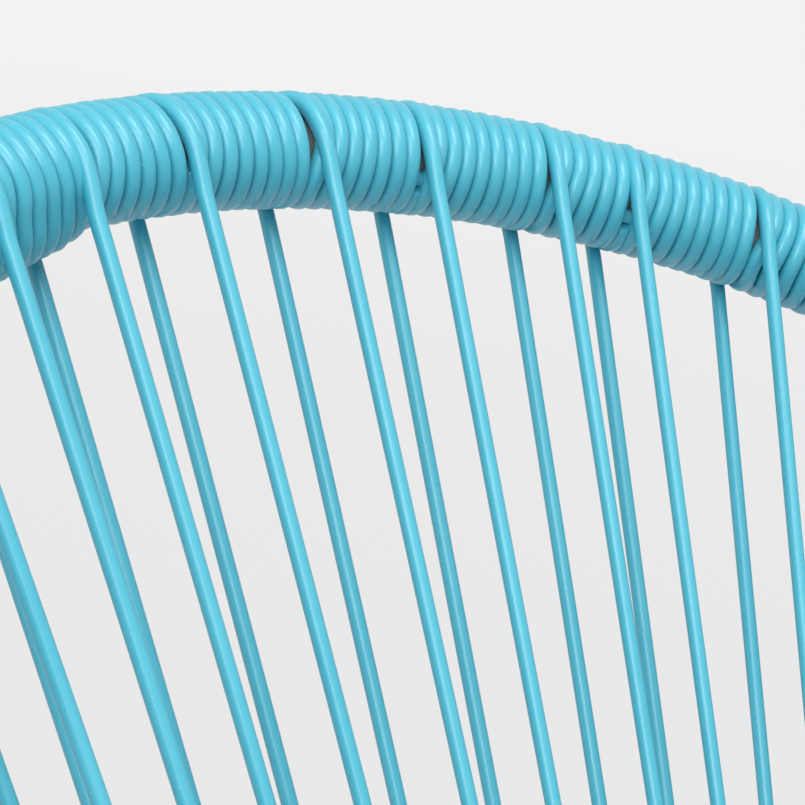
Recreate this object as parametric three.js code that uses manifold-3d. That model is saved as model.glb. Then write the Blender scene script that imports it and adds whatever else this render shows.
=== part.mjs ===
// A cord-strung lounge chair on three bent-rod feet, in millimetres.
// +Z is up, the chair faces -Y, and +X is to the right of someone who stands in front of it.
// The origin lies on the floor, under the middle of the feet.
import * as THREE from "three";
import { mergeVertices } from "three/addons/utils/BufferGeometryUtils.js";
import Module from "manifold-3d";

const wasm = await Module();
wasm.setup();

const degree = Math.PI / 180;
const fullTurn = 2 * Math.PI;
const quarterTurn = Math.PI / 2;
const up = new THREE.Vector3(0, 0, 1);

// Rim: a steel tube bent to one flat egg, which leans back
const rimHalfWidth = 360;
const rimHalfLength = 487;
const rimBroadTopShare = 0.2;
const rimTilt = 32 * degree;
const rimCentreHeight = 640;
const rimTubeRadius = 9.5;
const rimStations = 56;
const rimSides = 8;

// Ring: a small round rod in the middle of the seat, where every loop of cord turns back
const ringRadius = 90;
const ringRodRadius = 6;
const ringTilt = 14 * degree;
const ringCentre = new THREE.Vector3(0, 22, 338);
const ringStations = 32;

// Legs: bent rods from the ring and the rim to three feet
const legRodRadius = 6;
const legRodSides = 8;
const legBendReach = 42;
const legBendSteps = 8;
const legEndPull = 2.5;
const frontFootSide = 272;
const frontFootReach = 262;
const rearFootReach = 330;
const frontRimAngle = 119.3 * degree;
const rearRimAngle = 61.6 * degree;
const ringGapAngle = 50 * degree;

// Glides: plastic feet pushed over the bends
const glideRadius = 15;
const rearGlideRadius = 19;
const glideHeight = 26;
const glideSole = 4;
const glideSides = 20;

// Cord: one strand covers two bays, and it turns round the ring once at the end of each bay
const cordRadius = 2.2;
const fitGap = 0.3;
const turnsInBays = [9, 6, 9, 7, 9, 8];
const patternRepeats = 11;
const firstLoopShift = 48;
const cordLift = 2;
const clearOfRod = 0.8;
const clearOfRingRod = 2.8;
const strandStartShare = 1.36;
const strandEndShare = 1.15;
const sleeveStartShare = 2;
const sleeveEndShare = 0.8;
const loopsInRearSector = 18;
const loopsInSideSector = 15;
const rearLoopsBeforeFirst = 8;
const woundStrandsBefore = 1;
const woundStrandsAfter = 1;
const windingSteps = 12;
const windingSides = 5;
const plainCordSides = 4;
const ringLoopSteps = 3;
const measureStep = 1.5;
const measureSkip = 16;
const simplifyTolerance = 0.1;
const weldDistance = 0.02;

const cordSeat = rimTubeRadius + fitGap + cordRadius;
const sleeveRadius = cordSeat + cordRadius;
const windingReach = cordSeat / Math.cos(Math.PI / windingSteps);
const plainCordSeat = cordSeat + cordLift / 2;
const ringSeat = ringRodRadius + fitGap + cordRadius;

const steel = new THREE.MeshStandardMaterial({ color: 0x8d9294, roughness: 0.45, metalness: 0.85 });
const vinyl = new THREE.MeshStandardMaterial({ color: 0x35b3bb, roughness: 0.32, metalness: 0 });
const plastic = new THREE.MeshStandardMaterial({ color: 0x1d1f21, roughness: 0.6, metalness: 0 });

const chair = new THREE.Group();

function addPiece(name, geometry, material) {
  const mesh = new THREE.Mesh(geometry, material);
  mesh.name = name;
  chair.add(mesh);
}

function toSolid(geometry) {
  const merged = mergeVertices(geometry);
  return new wasm.Manifold(new wasm.Mesh({
    numProp: 3,
    vertProperties: new Float32Array(merged.attributes.position.array),
    triVerts: new Uint32Array(merged.index.array),
  }));
}

// Takes a solid's mesh, with points closer than the weld distance made one
function toGeometry(solid) {
  const mesh = solid.simplify(simplifyTolerance).getMesh();
  const geometry = new THREE.BufferGeometry();
  geometry.setAttribute("position", new THREE.BufferAttribute(new Float32Array(mesh.vertProperties), 3));
  geometry.setIndex(new THREE.BufferAttribute(new Uint32Array(mesh.triVerts), 1));
  const welded = mergeVertices(geometry, weldDistance);
  const corners = Array.from(welded.index.array);
  const kept = [];
  for (let start = 0; start < corners.length; start += 3) {
    const [one, two, three] = corners.slice(start, start + 3);
    if (one !== two && two !== three && three !== one) {
      kept.push(one, two, three);
    }
  }
  welded.setIndex(kept);
  return welded;
}

// Skins a row of rings that have equally many points; the row is capped, or closed on itself
function skin(rings, closed) {
  const sides = rings[0].length;
  const positions = rings.flat().flatMap((point) => point.toArray());
  const triangles = [];
  const spans = closed ? rings.length : rings.length - 1;
  for (let row = 0; row < spans; row += 1) {
    const here = row * sides;
    const next = ((row + 1) % rings.length) * sides;
    for (let side = 0; side < sides; side += 1) {
      const beside = (side + 1) % sides;
      triangles.push(here + side, here + beside, next + beside, here + side, next + beside, next + side);
    }
  }
  if (!closed) {
    const last = (rings.length - 1) * sides;
    for (let side = 1; side < sides - 1; side += 1) {
      triangles.push(0, side + 1, side, last, last + side, last + side + 1);
    }
  }
  const geometry = new THREE.BufferGeometry();
  geometry.setAttribute("position", new THREE.Float32BufferAttribute(positions, 3));
  geometry.setIndex(triangles);
  return geometry;
}

// A solid rod along points, whose section is carried along without twisting
function rodAlong(points, radius, sides) {
  const rings = [];
  const count = points.length;
  let across = null;
  for (let index = 0; index < count; index += 1) {
    const before = points[Math.max(index - 1, 0)];
    const after = points[Math.min(index + 1, count - 1)];
    const forward = after.clone().sub(before).normalize();
    if (across === null) {
      across = Math.abs(forward.z) < 0.9 ? up.clone() : new THREE.Vector3(1, 0, 0);
    }
    across.addScaledVector(forward, -across.dot(forward)).normalize();
    const aside = forward.clone().cross(across);
    const ring = [];
    for (let side = 0; side < sides; side += 1) {
      const angle = (fullTurn * side) / sides;
      ring.push(points[index].clone()
        .addScaledVector(across, radius * Math.cos(angle))
        .addScaledVector(aside, radius * Math.sin(angle)));
    }
    rings.push(ring);
  }
  return skin(rings, false);
}

// Rim centreline by its angle, from the top of the back towards +X
function rimPoint(angle) {
  const side = rimHalfWidth * Math.sin(angle) * (1 + rimBroadTopShare * Math.cos(angle));
  const along = rimHalfLength * Math.cos(angle);
  return new THREE.Vector3(side, along * Math.cos(rimTilt), rimCentreHeight + along * Math.sin(rimTilt));
}

const rimSamples = 3600;
const rimLengths = [0];
for (let index = 1; index <= rimSamples; index += 1) {
  const step = rimPoint((fullTurn * index) / rimSamples).distanceTo(rimPoint((fullTurn * (index - 1)) / rimSamples));
  rimLengths.push(rimLengths[index - 1] + step);
}
const rimPerimeter = rimLengths[rimSamples];

function rimAngleAt(distance) {
  const wrapped = ((distance % rimPerimeter) + rimPerimeter) % rimPerimeter;
  let low = 0;
  let high = rimSamples;
  while (high - low > 1) {
    const middle = Math.floor((low + high) / 2);
    if (rimLengths[middle] > wrapped) {
      high = middle;
    } else {
      low = middle;
    }
  }
  const share = (wrapped - rimLengths[low]) / (rimLengths[high] - rimLengths[low]);
  return (fullTurn * (low + share)) / rimSamples;
}

function rimDistanceAt(angle) {
  return rimLengths[Math.round((rimSamples * angle) / fullTurn)];
}

// Frame across the rim: inward points to the ring, and above to the sitter's side
function rimStation(distance) {
  const angle = rimAngleAt(distance);
  const smallAngle = 0.001;
  const centre = rimPoint(angle);
  const forward = rimPoint(angle + smallAngle).sub(rimPoint(angle - smallAngle)).normalize();
  const inward = ringCentre.clone().sub(centre);
  inward.addScaledVector(forward, -inward.dot(forward)).normalize();
  return { centre, inward, above: inward.clone().cross(forward) };
}

const stationGap = rimPerimeter / rimStations;
const stations = [];
for (let index = 0; index < rimStations; index += 1) {
  stations.push(rimStation(index * stationGap));
}

// The rim is a tube of straight lengths between its stations, and the cord follows them
function rimFrame(distance) {
  const wrapped = ((distance % rimPerimeter) + rimPerimeter) % rimPerimeter;
  const index = Math.min(Math.floor(wrapped / stationGap), rimStations - 1);
  const share = wrapped / stationGap - index;
  const here = stations[index];
  const next = stations[(index + 1) % rimStations];
  return {
    centre: here.centre.clone().lerp(next.centre, share),
    inward: here.inward.clone().lerp(next.inward, share),
    above: here.above.clone().lerp(next.above, share),
  };
}

function aroundRim(distance, radius, angle) {
  const frame = rimFrame(distance);
  return frame.centre
    .addScaledVector(frame.above, radius * Math.cos(angle))
    .addScaledVector(frame.inward, radius * Math.sin(angle));
}

function rimRing(distance, radius) {
  const ring = [];
  for (let side = 0; side < rimSides; side += 1) {
    ring.push(aroundRim(distance, radius, (fullTurn * side) / rimSides));
  }
  return ring;
}

function rimTube(radius) {
  return skin(stations.map((station, index) => rimRing(index * stationGap, radius)), true);
}

// Ring centreline by its angle, from the back towards +X
const ringBack = new THREE.Vector3(0, Math.cos(ringTilt), Math.sin(ringTilt));

function ringPoint(angle, radius) {
  return ringCentre.clone()
    .addScaledVector(new THREE.Vector3(1, 0, 0), radius * Math.sin(angle))
    .addScaledVector(ringBack, radius * Math.cos(angle));
}

function ringTube(radius) {
  const axis = new THREE.Vector3(0, -Math.sin(ringTilt), Math.cos(ringTilt));
  const rings = [];
  for (let station = 0; station < ringStations; station += 1) {
    const angle = (fullTurn * station) / ringStations;
    const outward = ringPoint(angle, 1).sub(ringCentre);
    const ring = [];
    for (let side = 0; side < legRodSides; side += 1) {
      const turn = (fullTurn * side) / legRodSides;
      ring.push(ringPoint(angle, ringRadius)
        .addScaledVector(axis, radius * Math.cos(turn))
        .addScaledVector(outward, -radius * Math.sin(turn)));
    }
    rings.push(ring);
  }
  return skin(rings, true);
}

addPiece("rim_tube", rimTube(rimTubeRadius), steel);
addPiece("ring_rod", ringTube(ringRodRadius), steel);

const rimKeepOut = toSolid(rimTube(rimTubeRadius + fitGap));
const ringKeepOut = toSolid(ringTube(ringRodRadius + fitGap));

function pulledBack(end, towards) {
  return end.clone().addScaledVector(towards.clone().sub(end).normalize(), legEndPull);
}

// A leg is one rod that comes down to a foot, bends there and goes up again.
// Its corner is lowered until the outside of the bend stands on the glide's sole.
function legPath(from, foot, to) {
  const corner = foot.clone();
  let points = [];
  const passes = 4;
  for (let pass = 0; pass < passes; pass += 1) {
    const down = corner.clone().addScaledVector(from.clone().sub(corner).normalize(), legBendReach);
    const rise = corner.clone().addScaledVector(to.clone().sub(corner).normalize(), legBendReach);
    const bend = new THREE.QuadraticBezierCurve3(down, corner.clone(), rise);
    points = [pulledBack(from, down), ...bend.getPoints(legBendSteps), pulledBack(to, rise)];
    const lowest = Math.min(...points.map((point) => point.z));
    corner.z += glideSole + fitGap + legRodRadius - lowest;
  }
  return points;
}

function lowestPoint(points) {
  return points.reduce((low, point) => (point.z < low.z ? point : low));
}

function addLeg(name, points) {
  const rod = toSolid(rodAlong(points, legRodRadius, legRodSides));
  addPiece(name, toGeometry(rod.subtract(rimKeepOut).subtract(ringKeepOut)), steel);
}

function addGlide(name, middle, radius, paths) {
  const body = new THREE.CylinderGeometry(radius, radius, glideHeight, glideSides);
  body.rotateX(quarterTurn);
  body.translate(middle.x, middle.y, glideHeight / 2);
  body.deleteAttribute("normal");
  body.deleteAttribute("uv");
  let solid = toSolid(body);
  for (const points of paths) {
    solid = solid.subtract(toSolid(rodAlong(points, legRodRadius + fitGap, legRodSides)));
  }
  addPiece(name, toGeometry(solid), plastic);
}

const supports = [];
for (const side of [-1, 1]) {
  const word = side < 0 ? "left" : "right";
  const rimDistance = rimDistanceAt(frontRimAngle) * side;
  const foot = new THREE.Vector3(side * frontFootSide, -frontFootReach, 0);
  const ringEnd = ringPoint(Math.PI - side * ringGapAngle, ringRadius);
  const points = legPath(ringEnd, foot, rimFrame(rimDistance).centre);
  addLeg(`leg_front_${word}`, points);
  addGlide(`glide_front_${word}`, lowestPoint(points), glideRadius, [points]);
  supports.push({ distance: rimDistance, towards: points[points.length - 2] });
}

const rodSpacing = 2 * legRodRadius + fitGap;
const rearRimDistance = rimDistanceAt(rearRimAngle);
const yokePoints = legPath(
  rimFrame(-rearRimDistance).centre,
  new THREE.Vector3(0, rearFootReach + rodSpacing / 2, 0),
  rimFrame(rearRimDistance).centre,
);
const strutPoints = legPath(
  ringPoint(-ringGapAngle, ringRadius),
  new THREE.Vector3(0, rearFootReach - rodSpacing / 2, 0),
  ringPoint(ringGapAngle, ringRadius),
);
addLeg("leg_rear_yoke", yokePoints);
addLeg("leg_rear_strut", strutPoints);
const rearMiddle = lowestPoint(yokePoints).clone().lerp(lowestPoint(strutPoints), 0.5);
addGlide("glide_rear", rearMiddle, rearGlideRadius, [yokePoints, strutPoints]);
supports.push({ distance: -rearRimDistance, towards: yokePoints[1] });
supports.push({ distance: rearRimDistance, towards: yokePoints[yokePoints.length - 2] });

// Loops: the turn number of each, counted from the splice near the top of the back
const loopTurns = [];
let turnCount = 0;
for (let repeat = 0; repeat < patternRepeats; repeat += 1) {
  for (const turns of turnsInBays) {
    loopTurns.push(turnCount);
    turnCount += turns;
  }
}
const loopCount = loopTurns.length;

// Where a leg meets the rim the winding steps over it. The rod leans along the rim, so the
// gap in the winding lies where the rod passes through it.
for (const support of supports) {
  const frame = rimFrame(support.distance);
  const forward = frame.above.clone().cross(frame.inward).normalize();
  const direction = support.towards.clone().sub(frame.centre).normalize();
  const angle = Math.atan2(direction.dot(frame.inward), direction.dot(frame.above));
  const lean = Math.asin(direction.dot(forward));
  support.share = ((angle + fullTurn) % fullTurn) / fullTurn;
  support.middle = support.distance + cordSeat * Math.tan(lean);
  support.half = legRodRadius / Math.cos(lean) + cordRadius * (1 + Math.abs(Math.tan(lean))) + clearOfRod;
}
supports.sort((one, other) => one.distance - other.distance);
const gapsTotal = 2 * supports.reduce((total, support) => total + support.half, 0);
const turnPitch = (rimPerimeter - gapsTotal) / (turnCount - supports.length);

// Each support gives two knots of a table from turn number to distance along the rim
const rearLeft = supports.findIndex((support) => support.distance === -rearRimDistance);
const ordered = [...supports.slice(rearLeft), ...supports.slice(0, rearLeft)];
const knots = [];
let reached = { turn: 0, distance: firstLoopShift };
for (const support of ordered) {
  const first = knots.length === 0;
  const wraps = support.distance < -rearRimDistance ? rimPerimeter : 0;
  const edge = support.middle + wraps + (first ? support.half : -support.half);
  const turns = (edge - reached.distance) / turnPitch - (first ? 1 : 0);
  const whole = Math.round(reached.turn + turns - support.share);
  const before = { turn: whole + support.share, distance: support.middle + wraps - support.half };
  reached = { turn: before.turn + 1, distance: before.distance + 2 * support.half };
  knots.push(before, reached);
}
const gapTurns = ordered.map((support, index) => (knots[2 * index].turn + turnCount) % turnCount);
knots.push({ turn: knots[0].turn + turnCount, distance: knots[0].distance + rimPerimeter });

function distanceAtTurn(turn) {
  const first = knots[0].turn;
  const rounds = Math.floor((turn - first) / turnCount);
  const wrapped = turn - rounds * turnCount;
  const index = knots.findLastIndex((knot) => knot.turn <= wrapped);
  const here = knots[index];
  const next = knots[Math.min(index + 1, knots.length - 1)];
  let share = next === here ? 0 : (wrapped - here.turn) / (next.turn - here.turn);
  const stepsOver = index % 2 === 0;
  if (stepsOver) {
    share = share * share * (3 - 2 * share);
  }
  return here.distance + share * (next.distance - here.distance) + rounds * rimPerimeter;
}

// The loops lie side by side on the ring, in four sectors between the ends of the legs
const ringGapHalf = (legRodRadius + cordRadius + clearOfRingRod) / (ringRadius - ringSeat);
const sectors = [
  { from: -ringGapAngle, to: ringGapAngle, loops: loopsInRearSector },
  { from: ringGapAngle, to: Math.PI - ringGapAngle, loops: loopsInSideSector },
  { from: Math.PI - ringGapAngle, to: Math.PI + ringGapAngle, loops: loopsInRearSector },
  { from: Math.PI + ringGapAngle, to: fullTurn - ringGapAngle, loops: loopsInSideSector },
];
const ringAngles = [];
for (const sector of sectors) {
  const start = sector.from + ringGapHalf;
  const spacing = (sector.to - sector.from - 2 * ringGapHalf) / (sector.loops - 1);
  for (let loop = 0; loop < sector.loops; loop += 1) {
    ringAngles.push(start + loop * spacing);
  }
}

function ringAngleOfLoop(loop) {
  return ringAngles[(loop + rearLoopsBeforeFirst + loopCount) % loopCount];
}

// One turn round the ring, over its top, down its inner side and back under it.
// Its corners lie far enough out for the straight lengths between them to clear the rod.
function ringLoop(loop, steps) {
  const angle = ringAngleOfLoop(loop);
  const centre = ringPoint(angle, ringRadius);
  const forward = ringPoint(angle + quarterTurn, 1).sub(ringCentre);
  const rim = rimFrame(distanceAtTurn(loopTurns[loop])).centre;
  const inward = centre.clone().sub(rim);
  inward.addScaledVector(forward, -inward.dot(forward)).normalize();
  const above = inward.clone().cross(forward);
  if (above.z < 0) {
    above.negate();
  }
  const points = [];
  const reach = ringSeat / Math.cos(Math.PI / (2 * steps));
  for (let step = 0; step < steps; step += 1) {
    const turn = (Math.PI * (step + 0.5)) / steps;
    points.push(centre.clone()
      .addScaledVector(above, reach * Math.cos(turn))
      .addScaledVector(inward, reach * Math.sin(turn)));
  }
  return points;
}

// Radius of the winding: the cord lifts off the rim just before and after a loop
function windingPoint(turn, loopTurn) {
  const away = Math.abs(turn - (loopTurn + 0.25)) - 0.25;
  const lift = cordLift * Math.max(0, 1 - 4 * away);
  const angle = fullTurn * (turn - Math.floor(turn));
  return aroundRim(distanceAtTurn(turn), windingReach + lift, angle);
}

function woundPath(strand) {
  const first = 2 * strand;
  const points = [];
  let turn = loopTurns[first] + strandStartShare;
  for (const loop of [first + 1, first + 2]) {
    const wrapped = loop % loopCount;
    const loopTurn = loopTurns[wrapped] + (loop >= loopCount ? turnCount : 0);
    const steps = Math.round((loopTurn - turn) * windingSteps);
    for (let step = 0; step <= steps; step += 1) {
      points.push(windingPoint(turn + ((loopTurn - turn) * step) / steps, loopTurn));
    }
    points.push(...ringLoop(wrapped, 2 * ringLoopSteps));
    turn = loopTurn + 0.5;
    points.push(windingPoint(turn, loopTurn));
    for (let step = 1; step < windingSteps / 2; step += 1) {
      points.push(windingPoint(turn + step / windingSteps, loopTurn));
    }
    turn = loopTurn + 1;
  }
  const tailSteps = 3;
  for (let step = 0; step <= tailSteps; step += 1) {
    points.push(windingPoint(turn + ((strandEndShare - 1) * step) / tailSteps, turn - 1));
  }
  return points;
}

function leastGap(points) {
  const dense = [];
  let travelled = 0;
  for (let index = 1; index < points.length; index += 1) {
    const length = points[index].distanceTo(points[index - 1]);
    const pieces = Math.ceil(length / measureStep);
    for (let piece = 0; piece < pieces; piece += 1) {
      const share = piece / pieces;
      dense.push({
        at: travelled + share * length,
        place: points[index - 1].clone().lerp(points[index], share),
      });
    }
    travelled += length;
  }
  let least = Infinity;
  for (let one = 0; one < dense.length; one += 1) {
    for (let other = one + 1; other < dense.length; other += 1) {
      if (dense[other].at - dense[one].at > measureSkip) {
        least = Math.min(least, dense[one].place.distanceTo(dense[other].place));
      }
    }
  }
  return least - 2 * cordRadius;
}

function sleeve(from, to) {
  const distances = [from];
  for (let station = Math.floor(from / stationGap) + 1; station * stationGap < to; station += 1) {
    distances.push(station * stationGap);
  }
  distances.push(to);
  const outer = toSolid(skin(distances.map((distance) => rimRing(distance, sleeveRadius)), false));
  return outer.subtract(rimKeepOut);
}

// A plain strand has a sleeve in place of its turns, and its two loops as straight cords
function plainStrand(strand) {
  const first = 2 * strand;
  const last = first + 2;
  const startTurn = loopTurns[first] + sleeveStartShare;
  const endTurn = (last >= loopCount ? turnCount : loopTurns[last]) + sleeveEndShare;
  const start = distanceAtTurn(startTurn);
  const end = distanceAtTurn(endTurn);
  const gapTurn = gapTurns.find((turn) => turn > startTurn && turn < endTurn);
  let solid = null;
  if (gapTurn === undefined) {
    solid = sleeve(start, end);
  } else {
    solid = sleeve(start, distanceAtTurn(gapTurn) + cordRadius)
      .add(sleeve(distanceAtTurn(gapTurn + 1) - cordRadius, end));
    const bridge = [];
    const margin = 0.1;
    for (let step = 0; step <= windingSteps; step += 1) {
      const turn = gapTurn - margin + ((1 + 2 * margin) * step) / windingSteps;
      bridge.push(aroundRim(distanceAtTurn(turn), windingReach, fullTurn * (turn - Math.floor(turn))));
    }
    solid = solid.add(toSolid(rodAlong(bridge, cordRadius, windingSides)));
  }
  for (const loop of [first + 1, last]) {
    const wrapped = loop % loopCount;
    const turn = loop >= loopCount ? turnCount : loopTurns[loop];
    const points = [
      aroundRim(distanceAtTurn(turn), plainCordSeat, 0),
      ...ringLoop(wrapped, ringLoopSteps),
      aroundRim(distanceAtTurn(turn + 0.5), plainCordSeat, Math.PI),
    ];
    solid = solid.add(toSolid(rodAlong(points, cordRadius, plainCordSides)));
  }
  return solid;
}

const strandCount = loopCount / 2;
for (let strand = 0; strand < strandCount; strand += 1) {
  const name = `cord_strand_${String(strand + 1).padStart(2, "0")}`;
  const wound = strand < woundStrandsAfter || strand >= strandCount - woundStrandsBefore;
  if (wound) {
    const points = woundPath(strand);
    console.log(`${name}: least gap to itself ${leastGap(points).toFixed(2)} mm`);
    addPiece(name, rodAlong(points, cordRadius, windingSides), vinyl);
  } else {
    addPiece(name, toGeometry(plainStrand(strand)), vinyl);
  }
}

console.log(`rim ${rimPerimeter.toFixed(0)} mm round, ${turnCount} turns at ${turnPitch.toFixed(2)} mm`);

export default chair;
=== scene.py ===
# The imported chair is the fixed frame. Every piece below is made where the frame has it, in metres,
# in the order in which the chair is put together: frame, feet, cord, and then the set around it.
import math
import bpy
import numpy as np
from mathutils import Matrix


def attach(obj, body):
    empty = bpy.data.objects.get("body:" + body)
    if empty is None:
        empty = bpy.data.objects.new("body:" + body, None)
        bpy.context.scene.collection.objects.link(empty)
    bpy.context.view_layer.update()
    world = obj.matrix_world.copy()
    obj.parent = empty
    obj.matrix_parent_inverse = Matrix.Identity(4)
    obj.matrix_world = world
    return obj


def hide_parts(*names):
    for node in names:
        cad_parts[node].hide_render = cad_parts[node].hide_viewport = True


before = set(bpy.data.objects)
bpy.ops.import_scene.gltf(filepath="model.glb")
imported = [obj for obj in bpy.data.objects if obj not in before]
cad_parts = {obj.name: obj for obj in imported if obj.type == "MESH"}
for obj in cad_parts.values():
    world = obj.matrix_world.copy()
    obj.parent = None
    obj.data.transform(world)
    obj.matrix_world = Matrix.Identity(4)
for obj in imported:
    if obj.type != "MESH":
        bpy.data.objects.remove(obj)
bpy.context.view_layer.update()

# The rim is one steel tube, 19 mm thick, bent to a flat egg that leans back and butt welded.
# It is powder coated silver grey before the cord goes on, and shows only where the winding opens.
# The feet stand on the floor at height 0, and the chair faces -Y.
rim_half_width = 0.360
rim_half_length = 0.487
rim_broad_top = 0.2
rim_lean = math.radians(32)
rim_middle_height = 0.640
rim_tube_radius = 0.0095
butt_bead = 0.00035
butt_bead_width = 0.0022
ring_middle = np.array([0.0, 0.022, 0.338])


def unit(vectors):
    """Each row divided by its own length."""
    return vectors / np.linalg.norm(vectors, axis=-1, keepdims=True)


def round_turn(sides):
    """Evenly spread angles once round a section."""
    return 2 * math.pi * np.arange(sides) / sides


def rim_centre(angle):
    """Egg curve: x is the half width times sine, widened towards the top, and the height up the
    leaning plane is the half length times cosine."""
    side = rim_half_width * np.sin(angle) * (1 + rim_broad_top * np.cos(angle))
    rise = rim_half_length * np.cos(angle)
    return np.stack([side, rise * math.cos(rim_lean),
                     rim_middle_height + rise * math.sin(rim_lean)], axis=-1)


rim_angles = np.linspace(0, 2 * math.pi, 7201)
rim_steps = np.linalg.norm(np.diff(rim_centre(rim_angles), axis=0), axis=1)
rim_lengths = np.concatenate([[0.0], np.cumsum(rim_steps)])
rim_perimeter = rim_lengths[-1]


def rim_place(distance):
    """Centre of the tube at a distance along it, and three directions there: along the tube,
    inward to the ring, and the sitter's side, which is inward crossed with along."""
    angle = np.interp(np.mod(distance, rim_perimeter), rim_lengths, rim_angles)
    centre = rim_centre(angle)
    along = unit(rim_centre(angle + 0.001) - rim_centre(angle - 0.001))
    inward = ring_middle - centre
    inward = unit(inward - np.sum(inward * along, axis=-1, keepdims=True) * along)
    return centre, along, inward, np.cross(inward, along)


def section_rings(path, outward, half_width, half_height, sides):
    """A rod's points: at each path point an ellipse, half height along outward and half width
    along outward crossed with the path's direction."""
    steps = unit(np.diff(path, axis=0))
    along = unit(np.concatenate([steps[:1], steps[:-1] + steps[1:], steps[-1:]]))
    outward = unit(outward - np.sum(outward * along, axis=1, keepdims=True) * along)
    wide = np.broadcast_to(half_width, len(path))[:, None] * np.cross(outward, along)
    high = np.broadcast_to(half_height, len(path))[:, None] * outward
    turn = round_turn(sides)[None, :, None]
    return path[:, None, :] + wide[:, None, :] * np.cos(turn) + high[:, None, :] * np.sin(turn)


def skin(name, strips):
    """One mesh over strips of rings: quads join point j of ring i to its neighbours, a hoop
    joins its last ring to its first, and an open strip gets a flat face at each end. The map
    holds the turn round the section and the length along it in metres."""
    places, corners, starts, totals, laps, flats = [], [], [], [], [], []
    offset = 0
    corner_count = 0
    for rings, hoop in strips:
        count, sides = rings.shape[:2]
        rows = np.arange(count if hoop else count - 1)
        ring = np.repeat(rows, sides)
        side = np.tile(np.arange(sides), len(rows))
        next_ring = (ring + 1) % count
        next_side = (side + 1) % sides
        quads = np.stack([ring * sides + side, ring * sides + next_side,
                          next_ring * sides + next_side, next_ring * sides + side], axis=1)
        middle = rings.mean(axis=1)
        steps = np.linalg.norm(np.roll(middle, -1, axis=0) - middle, axis=1)
        lengths = np.concatenate([[0.0], np.cumsum(steps)])
        lap = np.stack([side / sides, lengths[ring], (side + 1) / sides, lengths[ring],
                        (side + 1) / sides, lengths[ring + 1],
                        side / sides, lengths[ring + 1]], axis=1)
        places.append(rings.reshape(-1, 3))
        corners.append((quads + offset).ravel())
        starts.append(corner_count + 4 * np.arange(len(quads)))
        totals.append(np.full(len(quads), 4))
        flats.append(np.zeros(len(quads), bool))
        laps.append(lap.ravel())
        corner_count += 4 * len(quads)
        if not hoop:
            turn = round_turn(sides)
            first_end = np.arange(sides)[::-1]
            last_end = np.arange(sides) + (count - 1) * sides
            for order, length in ((first_end, lengths[0]), (last_end, lengths[count - 1])):
                end_lap = [0.5 + 0.1 * np.cos(turn), length + 0.002 * np.sin(turn)]
                corners.append(order + offset)
                starts.append(np.array([corner_count]))
                totals.append(np.array([sides]))
                flats.append(np.ones(1, bool))
                laps.append(np.stack(end_lap, axis=1).ravel())
                corner_count += sides
        offset += count * sides
    places, corners, starts, totals, laps, flats = (
        np.concatenate(parts) for parts in (places, corners, starts, totals, laps, flats))
    mesh = bpy.data.meshes.new(name)
    mesh.vertices.add(len(places))
    mesh.vertices.foreach_set("co", places.astype(np.float32).ravel())
    mesh.loops.add(len(corners))
    mesh.loops.foreach_set("vertex_index", corners.astype(np.int32))
    mesh.polygons.add(len(starts))
    mesh.polygons.foreach_set("loop_start", starts.astype(np.int32))
    mesh.polygons.foreach_set("loop_total", totals.astype(np.int32))
    mesh.polygons.foreach_set("use_smooth", ~flats)
    mesh.uv_layers.new(name="lie").data.foreach_set("uv", laps.astype(np.float32))
    mesh.update(calc_edges=True)
    mesh.validate()
    piece = bpy.data.objects.new(name, mesh)
    bpy.context.scene.collection.objects.link(piece)
    return piece


def hex_colour(code):
    """An sRGB hex code as linear red, green and blue: the low part is divided by 12.92, the
    rest raised to 2.4."""
    shares = np.array([int(code[place:place + 2], 16) for place in (0, 2, 4)]) / 255
    linear = np.where(shares <= 0.04045, shares / 12.92, ((shares + 0.055) / 1.055) ** 2.4)
    return (*linear.tolist(), 1.0)


def add_node(tree, kind, values=None, links=None, **settings):
    """Adds one node: settings are its options, values go on its sockets, and links join
    outputs to them."""
    node = tree.nodes.new("ShaderNode" + kind)
    for option, value in settings.items():
        setattr(node, option, value)
    for socket, value in (values or {}).items():
        node.inputs[socket].default_value = value
    for socket, source in (links or {}).items():
        tree.links.new(source, node.inputs[socket])
    return node


def new_finish(name):
    """An empty material with its output node."""
    finish = bpy.data.materials.new(name)
    finish.use_nodes = True
    finish.node_tree.nodes.clear()
    output = add_node(finish.node_tree, "OutputMaterial")
    return finish, finish.node_tree, output


# Powder coat on steel bakes to a satin grey film with a faint orange peel, its cells near 1 mm.
# It is a little darker where hands and cord have rubbed it.
powder_coat, tree, output = new_finish("powder coated steel, satin silver grey")
place = add_node(tree, "TexCoord").outputs["Object"]
rubbed = add_node(tree, "TexNoise", {"Scale": 1 / 0.045, "Detail": 4.0, "Roughness": 0.6},
                  {"Vector": place})
peel = add_node(tree, "TexNoise", {"Scale": 1 / 0.0011, "Detail": 1.5}, {"Vector": place})
tone = add_node(tree, "ValToRGB", links={"Fac": rubbed.outputs["Fac"]})
tone.color_ramp.elements[0].position = 0.34
tone.color_ramp.elements[0].color = hex_colour("8b9194")
tone.color_ramp.elements[1].position = 0.62
tone.color_ramp.elements[1].color = hex_colour("a4aaad")
dull = add_node(tree, "MapRange",
                {"From Min": 0.3, "From Max": 0.7, "To Min": 0.50, "To Max": 0.38},
                {"Value": rubbed.outputs["Fac"]})
film = add_node(tree, "Bump", {"Strength": 0.35, "Distance": 0.00005},
                {"Height": peel.outputs["Fac"]})
coat = add_node(tree, "BsdfPrincipled", {"Metallic": 0.25}, {
    "Base Color": tone.outputs["Color"], "Roughness": dull.outputs["Result"],
    "Normal": film.outputs["Normal"]})
tree.links.new(coat.outputs["BSDF"], output.inputs["Surface"])

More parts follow.
